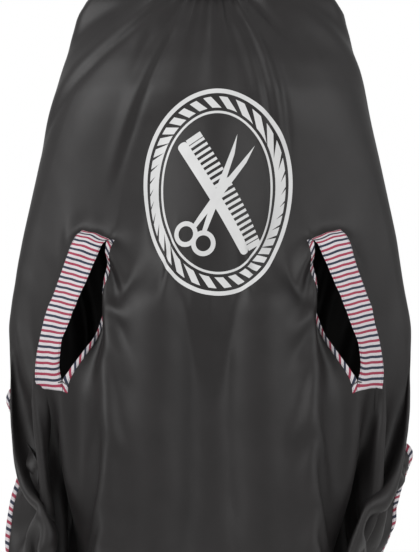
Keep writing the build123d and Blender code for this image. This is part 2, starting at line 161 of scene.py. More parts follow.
# Lines of the sheet that are led to hang as hands, lap and hips hold them: from and to on the
# flat pattern, then the places along the line.  Lines must be about as far apart in space as on
# the pattern, or the sheet between them crumples.
LED = [
    # The fold edges on both sides of the lap.
    ((.186, .7), (.192, 1.145), [(.178, -.122, -.545), (.178, -.156, -.72), (.186, -.172, -1.0)]),
    ((-.186, .7), (-.192, 1.145), [(-.176, -.122, -.545), (-.176, -.156, -.72), (-.19, -.172, -1.0)]),
    # The trough and the crest beside each.
    ((.35, .94), (.35, 1.145), [(.252, -.06, -.785), (.206, .018, -1.02)]),
    ((-.35, .94), (-.35, 1.145), [(-.252, -.06, -.785), (-.236, 0, -1.02)]),
    ((.54, .97), (.54, 1.145), [(.262, -.134, -.88), (.224, -.14, -1.04)]),
    ((-.54, .97), (-.54, 1.145), [(-.278, -.136, -.88), (-.286, -.14, -1.05)]),
    # Between the crests and the side edges.
    ((.6, .84), (.6, 1.145), [
        (.318, -.075, -.8), (.303, -.078, -.86), (.268, -.08, -.935), (.245, -.08, -1.03),
    ]),
    ((-.6, .84), (-.6, 1.145), [
        (-.29, -.078, -.8), (-.284, -.08, -.86), (-.296, -.08, -.95), (-.294, -.08, -1.04),
    ]),
    # The outer edges and the middles of the facings.
    ((.243, .57), (.324, .818), [(.226, -.104, -.416), (.285, -.098, -.553), (.306, -.088, -.662)]),
    ((-.243, .57), (-.324, .818), [
        (-.226, -.104, -.416), (-.285, -.098, -.553), (-.306, -.096, -.664),
    ]),
    ((.217, .578), (.298, .827), [(.2, -.109, -.434), (.26, -.117, -.569), (.285, -.102, -.672)]),
    ((-.217, .578), (-.298, .827), [
        (-.2, -.109, -.434), (-.26, -.117, -.569), (-.285, -.108, -.673),
    ]),
    # The side edges, the lines just inside them, and the edges down the back.
    ((-.7, .7), (-.7, 1.145), [
        (-.364, .012, -.675), (-.34, 0, -.77), (-.33, 0, -.83), (-.347, 0, -.9),
        (-.358, 0, -.96), (-.35, 0, -1.03), (-.315, 0, -1.09),
    ]),
    ((-.67, .7), (-.67, 1.13), [
        (-.338, -.006, -.675), (-.314, -.018, -.77), (-.304, -.018, -.83), (-.321, -.018, -.9),
        (-.332, -.018, -.96), (-.324, -.018, -1.03), (-.29, -.018, -1.08),
    ]),
    ((.7, .8), (.7, 1.145), [
        (.352, 0, -.775), (.352, 0, -.82), (.34, 0, -.875), (.32, 0, -.935),
        (.304, 0, -1.0), (.292, 0, -1.09),
    ]),
    ((.19, 0), (.7, 0), [
        (.006, .09, -.014), (.012, .14, -.14), (.022, .165, -.33), (.04, .182, -.52),
    ]),
    ((-.19, 0), (-.7, 0), [
        (-.006, .09, -.014), (-.012, .14, -.14), (-.022, .165, -.33), (-.04, .182, -.52),
    ]),
    ((.67, .8), (.67, 1.13), [
        (.326, -.018, -.775), (.326, -.018, -.82), (.314, -.018, -.875), (.294, -.018, -.935),
        (.278, -.018, -1.0), (.266, -.018, -1.08),
    ]),
]


# ---------------- the flat pattern


def reach(phi):
    """How far the sheet extends from the neck's centre, at an angle."""
    across = HALF_WIDTH / np.maximum(np.abs(np.sin(phi)), 1e-9)
    down = LENGTH / np.maximum(np.cos(phi), 1e-9)
    return np.minimum(across, down)


class Grid:
    """The sheet as a polar grid, slit for the arms: level 1 is dense, 2 is half as fine.

    right and left hold the vertices as the cells on each side see them.  They differ at the slits.
    """

    def __init__(self, level):
        n1, n2, n3 = (int(n * 2 / level) for n in COLUMNS)
        half = np.concatenate([
            np.linspace(0, SLIT_ANGLE, n1 + 1)[:-1],
            np.linspace(SLIT_ANGLE, CORNER, n2 + 1)[:-1],
            np.linspace(CORNER, math.pi / 2, n3 + 1),
        ])
        self.phi = np.concatenate([-half[:0:-1], half])
        rows = int(ROWS * 2 / level)
        self.r = NECK_CUT + (reach(self.phi) - NECK_CUT)[:, None] * np.linspace(0, 1, rows + 1)
        self.columns, self.rows = self.r.shape
        self.flat = np.stack([self.r * np.sin(self.phi)[:, None],
                              self.r * np.cos(self.phi)[:, None]], -1)
        count = self.columns * self.rows
        ids = np.arange(count).reshape(self.columns, self.rows)
        self.right, self.left = ids.copy(), ids.copy()
        middle = self.columns // 2
        self.seams = (middle - n1, middle + n1)
        self.slit = tuple(int(j * 2 / level) for j in SLIT_ROWS)
        inner = slice(self.slit[0] + 1, self.slit[1])
        extra = self.slit[1] - self.slit[0] - 1
        new = np.arange(count, count + extra)
        self.left[self.seams[0], inner] = new
        self.right[self.seams[1], inner] = new + extra
        self.count = count + 2 * extra

    def spread(self, values):
        """Values given on the grid, for every vertex, slit copies included."""
        out = np.zeros((self.count,) + values.shape[2:])
        out[self.left] = values
        out[self.right] = values
        return out

    def patch(self, k):
        """The vertex numbers of the part right of, between or left of the slits."""
        ends = (0, self.seams[0], self.seams[1], self.columns - 1)
        ids = self.right[ends[k]:ends[k + 1] + 1].copy()
        ids[-1] = self.left[ends[k + 1]]
        return ids, ends[k]

    def quads(self):
        """Four vertex numbers for each cell."""
        corners = (self.right[:-1, :-1], self.right[:-1, 1:], self.left[1:, 1:], self.left[1:, :-1])
        return np.stack(corners, -1).reshape(-1, 4)


# ---------------- the drape


def smooth(value):
    """From 0 to 1 without corners, as the value goes from 0 to 1."""
    value = np.clip(value, 0, 1)
    return value * value * (3 - 2 * value)


def distances(points):
    """How far each point is along a line of points."""
    return np.concatenate([[0], np.cumsum(np.linalg.norm(np.diff(points, axis=0), axis=1))])


def profile(points, s):
    """The place on a profile at a distance along it."""
    points = np.array(points)
    along = distances(points)
    beyond = np.maximum(s - along[-1], 0)
    return np.interp(s, along, points[:, 0]), np.interp(s, along, points[:, 1]) - beyond


def azimuth(arc, a, b, steps=96):
    """The azimuth at a distance round an oval, from its front; arc gets half the oval's length."""
    psi = np.linspace(0, math.pi, steps + 1)
    mid = (psi[1:] + psi[:-1]) / 2
    piece = np.hypot(a[..., None] * np.cos(mid), b[..., None] * np.sin(mid)) * psi[1]
    total = np.concatenate([np.zeros(a.shape + (1,)), np.cumsum(piece, -1)], -1)
    half = total[..., -1]
    arc = np.minimum(arc(half), half * .9995)
    i = np.clip((total < arc[..., None]).sum(-1) - 1, 0, steps - 1)[..., None]
    low = np.take_along_axis(total, i, -1)[..., 0]
    high = np.take_along_axis(total, i + 1, -1)[..., 0]
    return (i[..., 0] + (arc - low) / (high - low)) * psi[1]


def bell(grid):
    """The sheet wrapped round the bell, its front laid flat and its fullness in folds."""
    s = grid.r - NECK_CUT
    phi = np.abs(grid.phi)[:, None] * np.ones_like(s)
    side = np.sign(grid.phi)[:, None]
    (fy, fz), (sx, sz), (by, bz) = (profile(p, s) for p in (FRONT, SIDE, BACK))
    a, b = sx, (by - fy) / 2

    def arc(half):
        front = np.minimum(SLIT_ANGLE * grid.r, half * SLIT_ANGLE / (math.pi / 2) * 2.2)
        rest = (half - front) * (phi - SLIT_ANGLE) / (math.pi / 2 - SLIT_ANGLE)
        return np.where(phi <= SLIT_ANGLE, front * phi / SLIT_ANGLE, front + rest)

    psi = azimuth(arc, a, b) * side
    c, sn = np.cos(psi), np.sin(psi)
    y = (fy + by) / 2 - b * c
    z = sz + (fz - bz) / 2 * c + ((fz + bz) / 2 - sz) * c * c
    points = np.stack([a * sn, y, z], -1)
    out = np.stack([sn / a, -c / b, np.zeros_like(a)], -1)
    out /= np.linalg.norm(out, axis=-1, keepdims=True)
    degrees = np.degrees(phi)
    for at, width, height, start, full in FOLDS:
        here = np.exp(-((degrees - at) / width) ** 2) * smooth((s - start) / (full - start))
        points += out * (height * here)[..., None]
    return points


def tilted(x, y, up):
    """Places given round the neckband's axis, leaned forward with it."""
    c, s = math.cos(BAND_TILT), math.sin(BAND_TILT)
    return np.stack([x, y * c - up * s, y * s + up * c], -1)


def neck_line(phi):
    """The neckband's lower edge, where the sheet is sewn in, at pattern angles."""
    psi = 2 * phi * NECK_SHARE
    radius = BAND_R - .0006
    return tilted(radius * np.sin(psi), -radius * np.cos(psi), -BAND_HALF - .0004)


def limb(x, a, b, ra, rb):
    """How far points are outside a tapered limb, and which way is out."""
    a, b = np.array(a), np.array(b)
    t = np.clip((x - a) @ (b - a) / ((b - a) @ (b - a)), 0, 1)
    away = x - a - t[:, None] * (b - a)
    length = np.linalg.norm(away, axis=1) + 1e-9
    return length - ra - (rb - ra) * t, away / length[:, None]


def oval_stack(x, section):
    """How far points are outside a stack of ovals, and which way is out."""
    def share(z):
        half, front, back, power = section(z)
        px, py = x[:, 0] / half, (x[:, 1] - (front + back) / 2) / ((back - front) / 2)
        q = (np.abs(px) ** power + np.abs(py) ** power) ** (1 / power) + 1e-9
        gx = np.sign(px) * (np.abs(px) / q) ** (power - 1) / half
        return q, gx, np.sign(py) * (np.abs(py) / q) ** (power - 1) / ((back - front) / 2)

    q, gx, gy = share(x[:, 2])
    higher, lower = share(x[:, 2] + .001)[0], share(x[:, 2] - .001)[0]
    out = np.stack([gx, gy, (higher - lower) / .002], 1)
    steep = np.linalg.norm(out, axis=1) + 1e-9
    return (q - 1) / steep, out / steep[:, None]


def arms(z):
    """The half width, front, back and roundness of the shoulders and arms at a height."""
    half, front, back = (
        np.interp(-z, [-p[1] for p in points], [p[0] for p in points]) for points in (SIDE, FRONT, BACK)
    )
    depth = np.interp(z, ARM_Z, ARM_DEPTH)
    half = half * np.interp(z, ARM_Z, ARM_WIDTH)
    return half, front * depth, back * depth * .92, np.interp(z, ARM_Z, ARM_POWER)


def trunk(z):
    """The same for the trunk."""
    half, deep = np.interp(z, TRUNK_Z, TRUNK_X), np.interp(z, TRUNK_Z, TRUNK_Y)
    return half, .006 - deep, .006 + deep, 2.0


def rest_on_form(x, free, gap=.003):
    """Moves points out of the form."""
    tests = [(oval_stack(x, arms), SHOULDER_TOP), (oval_stack(x, trunk), TRUNK_Z[-1])]
    tests += [(limb(x, *part), 0) for part in THIGHS]
    for (away, out), top in tests:
        inside = (away < gap) & (away > -.05) & free & (x[:, 2] < top)
        x[inside] += out[inside] * (gap - away[inside])[:, None]


def threads(grid):
    """The sheet's springs in groups that share no vertex: ends, rest length, stiffness, bend."""
    right, left = grid.right, grid.left
    flat = grid.spread(grid.flat)
    i, j = np.indices(right.shape)
    split = left != right
    column = np.where(split.any(1))[0]
    whole = ~split[1:-1]
    wanted = [
        (right[:-1], left[1:], i[:-1] % 2, 1.0, False),
        (right[:, :-1], right[:, 1:], j[:, :-1] % 2, 1.0, False),
        (left[column, :-1], left[column, 1:], j[column, :-1] % 2, 1.0, False),
        (right[:-1, :-1], left[1:, 1:], i[:-1, 1:] % 2, .35, False),
        (right[:-1, 1:], left[1:, :-1], i[:-1, 1:] % 2, .35, False),
        (right[:-2][whole], left[2:][whole], (i[:-2][whole] // 2) % 2, .1, True),
        (right[:, :-2], right[:, 2:], (j[:, :-2] // 2) % 2, .1, True),
    ]
    groups = []
    for a, b, key, stiff, bend in wanted:
        a, b, key = a.ravel(), b.ravel(), key.ravel()
        for value in (0, 1):
            p, q = a[key == value], b[key == value]
            rest = np.linalg.norm(flat[p] - flat[q], axis=1)
            groups.append((p, q, rest, stiff, bend))
    return groups


def slit_edges(grid):
    """Where both edges of both slits are held: vertex numbers and places."""
    top, bottom = grid.slit
    ids, places = [], []
    drop = SLIT_Z[1] - SLIT_Z[0]
    for side, seam in ((-1, grid.seams[0]), (1, grid.seams[1])):
        outer, inner = (grid.left, grid.right) if side < 0 else (grid.right, grid.left)
        for j in range(top, bottom + 1):
            t = (j - top) / (bottom - top)
            z = SLIT_Z[0] + drop * t
            ids.append(outer[seam, j])
            places.append((side * np.interp(t, *SLIT_OUTER_X), np.interp(t, *SLIT_OUTER_Y), z))
            if inner[seam, j] != outer[seam, j]:
                ids.append(inner[seam, j])
                places.append((side * np.interp(t, *SLIT_INNER_X), np.interp(t, *SLIT_INNER_Y), z))
    return ids, places


def led_lines(grid):
    """The vertices nearest to the led lines, and where they are led."""
    ids, places = [], []
    for start, end, path in LED:
        t = np.linspace(0, 1, grid.rows)
        u = start[0] + (end[0] - start[0]) * t
        v = start[1] + (end[1] - start[1]) * t
        phi = np.arctan2(u, v)
        share = (np.hypot(u, v) - NECK_CUT) / (reach(phi) - NECK_CUT)
        i = np.rint(np.interp(phi, grid.phi, np.arange(grid.columns))).astype(int)
        j = np.rint(share * (grid.rows - 1)).astype(int)
        path = np.array(path)
        along = distances(path)
        ids += list(grid.right[i, np.clip(j, 1, grid.rows - 1)])
        places += list(np.stack([np.interp(t * along[-1], along, path[:, k]) for k in range(3)], 1))
    return ids, places


def guides(grid):
    """The held vertices, their places, and how strongly each is pulled in a sweep."""
    edges, lines = slit_edges(grid), led_lines(grid)
    held, places = (np.array(a + b) for a, b in zip(edges, lines))
    pull = np.array([SLIT_PULL] * len(edges[0]) + [LINE_PULL] * len(lines[0]))[:, None]
    return held, places, pull


def pull_threads(x, groups, weight):
    """Moves points towards their springs' rest lengths; a bend spring only pushes."""
    for a, b, rest, stiff, bend in groups:
        d = x[b] - x[a]
        length = np.sqrt(np.einsum("ij,ij->i", d, d)) + 1e-12
        share = (length - rest) / length * stiff / np.maximum(weight[a] + weight[b], 1)
        if bend:
            share = np.minimum(share, 0)
        d *= share[:, None]
        x[a] += weight[a, None] * d
        x[b] -= weight[b, None] * d


def settle(grid, x, steps, gravity):
    """Lets the sheet fall onto the form: position-based cloth, held at the neck and the guides."""
    groups = threads(grid)
    free = np.ones(grid.count, bool)
    free[grid.right[:, 0]] = False
    weight = free.astype(float)
    neck = neck_line(grid.phi)
    x[grid.right[:, 0]] = neck
    anchor = grid.spread(np.repeat(neck[:, None], grid.rows, axis=1))
    tether = grid.spread((grid.r - NECK_CUT)[..., None])[:, 0] * 1.002
    held, places, pull = guides(grid)
    fall = gravity / FRAME_RATE**2
    old = x.copy()
    for _ in range(steps):
        step = (x - old) * KEPT_SPEED
        speed = np.linalg.norm(step, axis=1, keepdims=True)
        step *= np.minimum(1, TOP_MOVE / np.maximum(speed, 1e-9)) * weight[:, None]
        old = x.copy()
        x = x + step
        x[:, 2] -= fall * weight
        for _ in range(SWEEPS):
            pull_threads(x, groups, weight)
            x[held] += (places - x[held]) * pull
        d = x - anchor
        length = np.linalg.norm(d, axis=1) + 1e-9
        far = length > tether
        x[far] = anchor[far] + d[far] * (tether[far] / length[far])[:, None]
        rest_on_form(x, free)
        x[:, 0] = np.clip(x[:, 0], *SIDE_WALLS)
    return x


def between(p):
    """A row of points again with one more between each two, on a smooth curve."""
    first, last = 2 * p[:1] - p[1:2], 2 * p[-1:] - p[-2:-1]
    q = np.concatenate([first, p, last])
    middle = (9 * (q[1:-2] + q[2:-1]) - q[:-3] - q[3:]) / 16
    out = np.zeros((2 * len(p) - 1,) + p.shape[1:])
    out[::2], out[1::2] = p, middle
    return out


def refine(coarse, x, fine):
    """The same shape on a grid with half the spacing."""
    out = np.zeros((fine.count, 3))
    for k in range(3):
        dense = between(x[coarse.patch(k)[0]])
        out[fine.patch(k)[0]] = between(dense.swapaxes(0, 1)).swapaxes(0, 1)
    return out


def iron(grid, x, passes=2, strength=.5):
    """Takes out what is smaller than the grid can show, and keeps the folds and the edges."""
    for _ in range(passes):
        total, count = np.zeros_like(x), np.zeros(grid.count)
        quads = grid.quads()
        for k in range(4):
            a, b = quads[:, k], quads[:, (k + 1) % 4]
            np.add.at(total, a, x[b])
            np.add.at(total, b, x[a])
            np.add.at(count, a, 1)
            np.add.at(count, b, 1)
        mean = total / count[:, None]
        inner = np.ones(grid.count, bool)
        for edge in (grid.right[:, 0], grid.right[:, -1], grid.right[0], grid.right[-1]):
            inner[edge] = False
        for seam in grid.seams:
            inner[grid.left[seam]] = False
            inner[grid.right[seam]] = False
        x = x + (mean - x) * strength * inner[:, None]
    return x


class Drape:
    """The finished sheet, and places on it from its flat pattern."""

    def __init__(self, grid, x):
        self.grid, self.x = grid, x
        self.patches = []
        for k in range(3):
            ids, first = grid.patch(k)
            points = x[ids]
            around = np.gradient(points, axis=0)
            down = np.gradient(points, axis=1)
            out = np.cross(down, around)
            out /= np.linalg.norm(out, axis=-1, keepdims=True) + 1e-12
            self.patches.append((points, out, first))

    def at(self, u, v, lift=0.0, patch=None):
        """Points over flat places (u, v), raised off the sheet by lift."""
        u, v, lift = np.broadcast_arrays(np.asarray(u, float), np.asarray(v, float), lift)
        phi = np.clip(np.arctan2(u, v), -math.pi / 2, math.pi / 2)
        i = np.interp(phi, self.grid.phi, np.arange(self.grid.columns))
        share = np.clip((np.hypot(u, v) - NECK_CUT) / (reach(phi) - NECK_CUT), 0, 1)
        j = share * (self.grid.rows - 1)
        if patch is None:
            patch = np.digitize(i, self.grid.seams)
        patch = np.broadcast_to(patch, i.shape)
        out = np.zeros(i.shape + (3,))
        for k, (points, normals, first) in enumerate(self.patches):
            m = patch == k
            if not m.any():
                continue
            a = np.clip(i[m] - first, 0, len(points) - 1.000001)
            b = np.clip(j[m], 0, points.shape[1] - 1.000001)
            a0, b0 = a.astype(int), b.astype(int)
            fa, fb = (a - a0)[:, None], (b - b0)[:, None]

            def mix(values):
                low = values[a0, b0] * (1 - fb) + values[a0, b0 + 1] * fb
                high = values[a0 + 1, b0] * (1 - fb) + values[a0 + 1, b0 + 1] * fb
                return low * (1 - fa) + high * fa

            out[m] = mix(points) + mix(normals) * lift[m][:, None]
        return out


def ripple(u, v, size, seed):
    """A smooth random value, from -1 to 1, over flat places."""
    table = np.random.default_rng(seed).uniform(-1, 1, (64, 64))
    u, v = u / size + 1000, v / size + 1000
    i, j = u.astype(int), v.astype(int)
    a, b = smooth(u - i), smooth(v - j)
    low = table[i % 64, j % 64] * (1 - a) + table[(i + 1) % 64, j % 64] * a
    high = table[i % 64, (j + 1) % 64] * (1 - a) + table[(i + 1) % 64, (j + 1) % 64] * a
    return low * (1 - b) + high * b


def square_shoulders(x):
    """Lifts and widens the drape at the tops of the shoulders, away from the neckband."""
    near = np.exp(-(((x[:, 2] - SHOULDER_TOP) / SQUARE_REACH) ** 2))
    across = np.abs(x[:, 0])
    x[:, 2] += SQUARE_LIFT * near * smooth((across - .064) / .032)
    x[:, 0] *= 1 + SQUARE_WIDEN * near * smooth((across - .075) / .09)
    return x


def drag_folds(phi, r, s):
    """Crisp creases from the neck towards the arms, each with a softer ridge beside it."""
    rng = np.random.default_rng(9)
    total = np.zeros_like(r)
    for side in (-1, 1):
        for k in range(9):
            at = side * (.26 + .125 * k + rng.uniform(-.04, .04))
            lean = rng.uniform(-.5, .5)
            start, end = rng.uniform(.02, .09), rng.uniform(.2, .44)
            across = (phi - at - lean * (s - .1)) * r
            shape = np.exp(-((across + .012) / .012) ** 2) - .8 * np.exp(-((across / .007) ** 2))
            shape *= smooth((s - start) / .05) * smooth((end - s) / .14)
            total += rng.uniform(.0022, .0042) * shape
    return total


def creases(grid):
    """Small folds by which the sheet is raised: gathers at the neck, drag lines and wrinkles."""
    phi = grid.phi[:, None]
    s = grid.r - NECK_CUT
    u, v = grid.flat[..., 0], grid.flat[..., 1]
    uneven = .62 + .38 * ripple(phi + s * .3, s * .2, .12, 3)
    gathers = .0036 * uneven * np.sin(58 * phi + 1.4 * np.sin(7 * phi) + 10 * s)
    gathers *= smooth(s / .006) * np.exp(-s / .055)
    drags = .0072 * uneven * np.sin(21 * phi + .9 * np.sin(4 * phi) + 4 * s)
    drags *= smooth(s / .04) * np.exp(-((s - .08) / .16) ** 2) * (.4 + .6 * smooth(np.abs(phi) * 2))
    wrinkles = .0026 * ripple(u + .45 * v, v * .3 - u * .2, .085, 5)
    wrinkles += .0009 * ripple(u - .3 * v, v * .5, .03, 6)
    edge = smooth(s / .02)
    drags += drag_folds(phi, grid.r, s)
    return gathers + drags + wrinkles * edge * (.35 + .65 * smooth((s - .35) / .4))


def drape():
    """Coarse drape, then a finer one, then a dense smooth grid with its small folds."""
    coarse, fine, dense = Grid(4), Grid(2), Grid(1)
    x = settle(coarse, coarse.spread(bell(coarse)), STEPS[0], GRAVITY[0])
    x = refine(coarse, x, fine)
    x = settle(fine, x, STEPS[1], GRAVITY[1])
    x = iron(fine, x)
    x = iron(dense, refine(fine, x, dense))
    x = square_shoulders(x)
    lift = creases(dense)
    for k, (points, normals, first) in enumerate(Drape(dense, x).patches):
        ids = dense.patch(k)[0]
        x[ids] = points + normals * lift[first:first + len(points), :, None]
    return Drape(dense, x)


# ---------------- making meshes


def new_mesh(name, shape, look, node=None, body="cape"):
    """A smooth-shaded mesh from points, faces and uv, which rides on a body and replaces a node."""
    points, faces, uv = shape
    mesh = bpy.data.meshes.new(name)
    mesh.from_pydata(np.asarray(points).reshape(-1, 3).tolist(), [], np.asarray(faces).tolist())
    mesh.polygons.foreach_set("use_smooth", [True] * len(mesh.polygons))
    layer = mesh.uv_layers.new(name="flat")
    corner = np.zeros(len(mesh.loops), np.int32)
    mesh.loops.foreach_get("vertex_index", corner)
    layer.data.foreach_set("uv", np.asarray(uv).reshape(-1, 2)[corner].ravel())
    mesh.materials.append(MATERIALS[look])
    piece = bpy.data.objects.new(name, mesh)
    bpy.context.scene.collection.objects.link(piece)
    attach(piece, body)
    if node:
        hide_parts(node)
    return piece


def grid_faces(rows, columns, around=False):
    """Quads of a grid of points; around joins its last column to its first."""
    ids = np.arange(rows * columns).reshape(rows, columns)
    if around:
        ids = np.concatenate([ids, ids[:, :1]], 1)
    return np.stack([ids[:-1, :-1], ids[:-1, 1:], ids[1:, 1:], ids[1:, :-1]], -1).reshape(-1, 4)


def gather(parts):
    """Several (points, faces, uv) as one."""
    points, faces, uvs, count = [], [], [], 0
    for p, f, uv in parts:
        points.append(np.asarray(p).reshape(-1, 3))
        uvs.append(np.asarray(uv).reshape(-1, 2))
        faces.append(np.asarray(f) + count)
        count += len(points[-1])
    return np.concatenate(points), np.concatenate(faces), np.concatenate(uvs)


def capped(rows, columns):
    """Faces of a tube of rows of points, closed at both ends by quads across it."""
    faces = [grid_faces(rows, columns, around=True)]
    half = columns // 2
    for row, turn in ((0, 1), (rows - 1, -1)):
        base = row * columns
        for k in range(half - 1):
            quad = [base + k, base + k + 1, base + columns - 2 - k, base + columns - 1 - k]
            faces.append(np.array([quad[::-turn]]))
    return np.concatenate(faces)


def tube(a, b, up, width, height, sides=6):
    """A short thread from a to b, arched a little along up."""
    a, b, up = (np.asarray(q, float) for q in (a, b, up))
    along = (b - a) / (np.linalg.norm(b - a) + 1e-12)
    across = np.cross(along, up)
    across /= np.linalg.norm(across) + 1e-12
    rows = []
    for t in (0, .18, .5, .82, 1):
        bulge = math.sin(math.pi * t) ** .5
        centre = a + (b - a) * t + up * (height * (bulge - .6))
        for k in range(sides):
            angle = 2 * math.pi * (k + .5) / sides
            ring = across * math.cos(angle) + up * math.sin(angle)
            rows.append(centre + ring * (width / 2 * (.45 + .55 * bulge)))
    points = np.array(rows)
    return points, capped(5, sides), np.zeros((len(points), 2))


def stitches(name, line, body="cape", pitch=.0034, share=.72, width=.00045):
    """A row of stitches along points that have normals."""
    points, normals = line
    along = distances(points)
    count = int(along[-1] / pitch)

    def place(values, t):
        return np.array([np.interp(t, along, values[:, k]) for k in range(3)])

    parts = []
    for k in range(count):
        start = (k + .5 * (1 - share)) * along[-1] / count
        end = start + share * along[-1] / count
        parts.append(tube(place(points, start), place(points, end), place(normals, start), width, width))
    return new_mesh(name, gather(parts), "thread", body=body)


# ---------------- trims on the sheet


def normals_at(sheet, u, v, patch=None):
    """Which way is out of the sheet at flat places."""
    return (sheet.at(u, v, .001, patch) - sheet.at(u, v, 0.0, patch)) / .001


def slit_place(side, r, w):
    """Flat places at a distance down a slit's ray and beside it, outwards."""
    u = r * math.sin(SLIT_ANGLE) + w * math.cos(SLIT_ANGLE)
    v = r * math.cos(SLIT_ANGLE) - w * math.sin(SLIT_ANGLE)
    return side * u, v


def strip(sheet, side, r_ends, w_ends, patch, rows, columns, thick):
    """A flat strip of tape beside a slit, with turned edges: points, faces and uv."""
    r = np.linspace(*r_ends, rows)[:, None]
    t = np.linspace(0, 1, columns)
    edge = np.clip(np.minimum(t, 1 - t) * (abs(w_ends[1] - w_ends[0]) / TAPE_EDGE), 0, 1) ** .5
    ends = np.clip(np.minimum(r - r_ends[0], r_ends[1] - r) / TAPE_EDGE, 0, 1) ** .5
    w = w_ends[0] + (w_ends[1] - w_ends[0]) * t[None, :]
    u, v = slit_place(side, r, w)
    top = sheet.at(u, v, .0003 + thick * edge[None, :] * ends, patch)
    under = sheet.at(u, v, .0002, patch)
    points = np.concatenate([top, under[:, ::-1]], 1)
    uv = np.stack(np.broadcast_arrays(np.concatenate([w, w[:, ::-1]], 1), r), -1)
    return points, capped(rows, 2 * columns), uv


# Where the slits start and end, from the neck's centre.
SLIT_R = tuple(NECK_CUT + (LENGTH / math.cos(SLIT_ANGLE) - NECK_CUT) * j / ROWS for j in SLIT_ROWS)


def slit_stitches(sheet, name, side, outer, r_ends):
    """Rows of stitches along both edges of a facing and along the tape."""
    pieces = []
    rows = (("inner", .003, outer), ("outer", FACING_WIDTH - .003, outer), ("tape", -.0062, 1))
    for label, w, patch in rows:
        u, v = slit_place(side, np.linspace(r_ends[0] + .003, r_ends[1] - .003, 160), w)
        line = sheet.at(u, v, STITCH_LIFT, patch), normals_at(sheet, u, v, patch)
        pieces.append(stitches(f"stitches_{name}_{label}", line))
    return pieces


def bar_tacks(sheet, name, side):
    """Dense zigzag stitches across both ends of a slit."""
    parts = []
    for r in (SLIT_R[0] - .001, SLIT_R[1] + .001):
        for k in range(TACK_STITCHES):
            w = -TACK_HALF + 2 * TACK_HALF * k / (TACK_STITCHES - 1)
            slant = .0004 if k % 2 else -.0004
            a = sheet.at(*slit_place(side, r - .0013, w + slant), STITCH_LIFT)
            b = sheet.at(*slit_place(side, r + .0013, w - slant), STITCH_LIFT)
            up = normals_at(sheet, *slit_place(side, r, w))
            parts.append(tube(a, b, up, .0007, .0004))
    return new_mesh(f"slit_bartacks_{name}", gather(parts), "thread", f"bartacks_{name}")


def arm_slits(sheet):
    """Facings, slit tapes, bar tacks and their stitching; returns the pieces."""
    pieces = []
    r_ends = (SLIT_R[0] - SLIT_OVERRUN, SLIT_R[1] + SLIT_OVERRUN)
    for name, side, outer in (("right", -1, 0), ("left", 1, 2)):
        shape = strip(sheet, side, r_ends, (.0004, FACING_WIDTH), outer, 150, 28, .0009)
        pieces.append(new_mesh(f"facing_{name}", shape, "facing", f"arm_facing_{name}"))
        shape = strip(sheet, side, r_ends, (-.0004, -SLIT_TAPE), 1, 150, 10, .0007)
        tape = new_mesh(f"slit_edge_tape_{name}", shape, "binding", f"slit_tape_{name}")
        pieces += [tape] + slit_stitches(sheet, name, side, outer, r_ends)
        pieces.append(bar_tacks(sheet, name, side))
    return pieces


# The folded binding: how far in from the sheet's edge, and how far off it, round the fold.
HALF_FOLD = [(.0082, .0003), (.0078, .001), (.0062, .0011), (.004, .0011),
             (.0015, .0011), (0.0, .001), (-.0008, .0005)]
FOLD = HALF_FOLD + [(inset, -lift) for inset, lift in reversed(HALF_FOLD)]


def inset_edge(which, side, inset, t):
    """Flat places along one edge of the sheet, set in, with mitred corners."""
    if which == "hem":
        return (HALF_WIDTH - inset) * (1 - 2 * t), np.full_like(t, LENGTH - inset)
    if which == "side":
        return np.full_like(t, side * (HALF_WIDTH - inset)), inset + (LENGTH - 2 * inset) * t
    return side * (NECK_CUT + (HALF_WIDTH - inset - NECK_CUT) * t), np.full_like(t, inset)


def bindings(sheet):
    """Bias binding folded over the five edges, with a row of stitches."""
    edges = [("hem", 1, "binding_hem", "hem_binding_front", 2 * HALF_WIDTH)]
    for name, side in (("right", -1), ("left", 1)):
        edges.append(("side", side, f"binding_side_{name}", f"hem_binding_{name}", LENGTH))
        edges.append(("back", side, f"binding_back_{name}", f"back_binding_{name}", HALF_WIDTH - NECK_CUT))
    pieces = []
    round_fold = distances(FOLD)
    for which, side, name, node, length in edges:
        t = np.linspace(0, 1, int(length / .0035))
        rim = sheet.at(*inset_edge(which, side, 0.0, t))
        inside = sheet.at(*inset_edge(which, side, .003, t))
        outward = rim - inside
        outward /= np.linalg.norm(outward, axis=1, keepdims=True)
        rows = []
        for inset, lift in FOLD:
            place = sheet.at(*inset_edge(which, side, max(inset, 0.0), t), lift)
            rows.append(place + outward * max(-inset, 0.0))
        points = np.stack(rows, 1)
        uv = np.stack(np.broadcast_arrays(t[:, None] * length, round_fold[None, :]), -1)
        shape = (points, capped(len(t), len(FOLD)), uv)
        piece = new_mesh(name, shape, "binding", node)
        u, v = inset_edge(which, side, .0068, t)
        line = sheet.at(u, v, STITCH_LIFT), normals_at(sheet, u, v)
        pieces += [piece, stitches(f"stitches_{name}", line, pitch=.0042)]
    return pieces


# ---------------- the print


def turned(x, z, degrees, dx=0.0, dz=0.0):
    """Places turned about the origin, then moved."""
    c, s = math.cos(math.radians(degrees)), math.sin(math.radians(degrees))
    return x * c - z * s + dx, x * s + z * c + dz


def badge_rings():
    """The badge's plain outer ring and its fine inner line."""
    a = np.linspace(0, 2 * math.pi, 281)[:, None]
    rings = []
    for outer, inner in ((BADGE_LINES[0], BADGE_LINES[1]), (BADGE_LINES[4], BADGE_LINES[5])):
        inset = np.linspace(outer, inner, 3)[None, :]
        rings.append(((BADGE[0] - inset) * np.cos(a), (BADGE[1] - inset) * np.sin(a)))
    return rings


def crossing(place, way, inset):
    """How far a straight line goes before it meets the badge's oval, drawn in by inset."""
    size = np.array([BADGE[0] - inset, BADGE[1] - inset])
    p, d = place / size, way / size
    a, b, c = d @ d, (p * d).sum(-1), (p * p).sum(-1) - 1
    return (-b - np.sqrt(b * b - a * c)) / a


